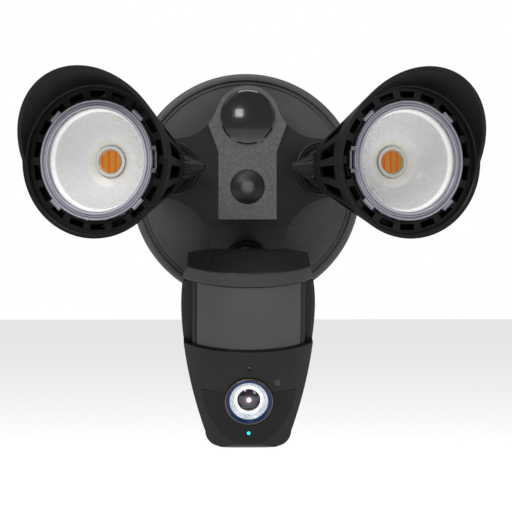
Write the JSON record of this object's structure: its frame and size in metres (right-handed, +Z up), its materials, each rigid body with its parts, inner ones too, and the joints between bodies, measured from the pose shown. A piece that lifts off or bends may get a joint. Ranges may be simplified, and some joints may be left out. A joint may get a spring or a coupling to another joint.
{
  "type": "floodlight security camera",
  "caption": "Wall security light: round back plate and lobed hub with swivelling, tilting hooded light heads and a tilting camera module with motion sensor window.",
  "frame": {"origin": "centre of the round back plate, on the wall's plane", "axes": "+Z up, +Y into the wall, the front faces -Y, +X to the right when seen from the front"},
  "size_m": [0.2886, 0.1982, 0.2512],
  "materials": {
    "plate_paint": "fine sand texture, satin black",
    "hub_paint": "fine sand texture, satin black",
    "head_metal": "satin black",
    "shroud_plastic": "satin black",
    "black_plastic": "matte black",
    "gloss_black": "gloss black",
    "shell_plastic": "satin black",
    "window_plastic": "translucent dark grey",
    "steel": "zinc plated",
    "rubber": "matte",
    "reflector_white": "satin white",
    "clear_lens": "clear",
    "led_yellow": "phosphor yellow",
    "board_green": "solder mask",
    "block_green": "satin",
    "trim_brass": "satin",
    "bezel_navy": "gloss navy",
    "barrel_silver": "bead blasted",
    "lens_dark": "polished glass, near black",
    "led_cyan": "lit cyan",
    "sensor_plastic": "smoked window"
  },
  "bodies": {
    "fixture": {"wall_gasket": "rubber", "crossbar": "steel", "back_plate": "plate_paint", "hub_housing": "hub_paint", "hub_screws": "steel", "mounting_bolt": "steel", "bolt_cap": "shell_plastic", "blank_cap": "gloss_black", "driver_board": "board_green", "terminal_block": "block_green", "wire_grommet": "rubber", "left_socket_ring": "black_plastic", "right_socket_ring": "black_plastic", "camera_socket_ring": "black_plastic"},
    "left_arm": {"left_swivel": "head_metal", "left_hinge_pin": "steel"},
    "left_head": {"left_shroud": "shroud_plastic", "left_visor": "shroud_plastic", "left_heat_sink": "head_metal", "left_led_module": "led_yellow", "left_reflector": "reflector_white", "left_lens_seal": "rubber", "left_lens": "clear_lens", "left_lens_clip": "steel", "left_head_screws": "steel"},
    "left_knob": {"left_clamp_knob": "black_plastic"},
    "right_arm": {"right_swivel": "head_metal", "right_hinge_pin": "steel"},
    "right_head": {"right_shroud": "shroud_plastic", "right_visor": "shroud_plastic", "right_heat_sink": "head_metal", "right_led_module": "led_yellow", "right_reflector": "reflector_white", "right_lens_seal": "rubber", "right_lens": "clear_lens", "right_lens_clip": "steel", "right_head_screws": "steel"},
    "right_knob": {"right_clamp_knob": "black_plastic"},
    "camera_arm": {"camera_swivel": "black_plastic"},
    "camera": {"camera_hinge_pin": "steel", "camera_rear_shell": "shell_plastic", "camera_front_shell": "shell_plastic", "camera_top_cap": "shell_plastic", "camera_shell_seal": "rubber", "camera_shell_screws": "steel", "pir_window": "window_plastic", "pir_sensor": "steel", "camera_fascia": "gloss_black", "lens_trim": "trim_brass", "lens_bezel": "bezel_navy", "lens_barrel": "barrel_silver", "lens_glass": "lens_dark", "main_board": "board_green", "speaker": "black_plastic", "microphone": "steel", "status_led": "led_cyan", "light_sensor": "sensor_plastic"}
  },
  "joints": [
    {"name": "left_swivel_joint", "type": "hinge", "parent": "fixture", "child": "left_arm", "pos_m": [-0.0492, -0.03515, 0.0127], "axis": [-0.342, -0.9397, 0], "range_deg": [-35, 35]},
    {"name": "left_tilt_joint", "type": "hinge", "parent": "left_arm", "child": "left_head", "pos_m": [-0.05501, -0.05113, 0.0127], "axis": [-0.9397, 0.342, 0], "range_deg": [-20, 35]},
    {"name": "left_knob_joint", "type": "hinge", "parent": "left_arm", "child": "left_knob", "pos_m": [-0.05501, -0.05113, 0.0127], "axis": [0.9397, -0.342, 0], "continuous": true},
    {"name": "right_swivel_joint", "type": "hinge", "parent": "fixture", "child": "right_arm", "pos_m": [0.0492, -0.03515, 0.0127], "axis": [0.342, -0.9397, 0], "range_deg": [-35, 35]},
    {"name": "right_tilt_joint", "type": "hinge", "parent": "right_arm", "child": "right_head", "pos_m": [0.05501, -0.05113, 0.0127], "axis": [-0.9397, -0.342, 0], "range_deg": [-20, 35]},
    {"name": "right_knob_joint", "type": "hinge", "parent": "right_arm", "child": "right_knob", "pos_m": [0.05501, -0.05113, 0.0127], "axis": [0.9397, 0.342, 0], "continuous": true},
    {"name": "camera_swivel_joint", "type": "hinge", "parent": "fixture", "child": "camera_arm", "pos_m": [0, -0.022, -0.0458], "axis": [0, -0.7071, -0.7071], "range_deg": [-30, 30]},
    {"name": "camera_tilt_joint", "type": "hinge", "parent": "camera_arm", "child": "camera", "pos_m": [0, -0.04102, -0.06482], "axis": [-1, 0, 0], "range_deg": [-8, 15]}
  ]
}
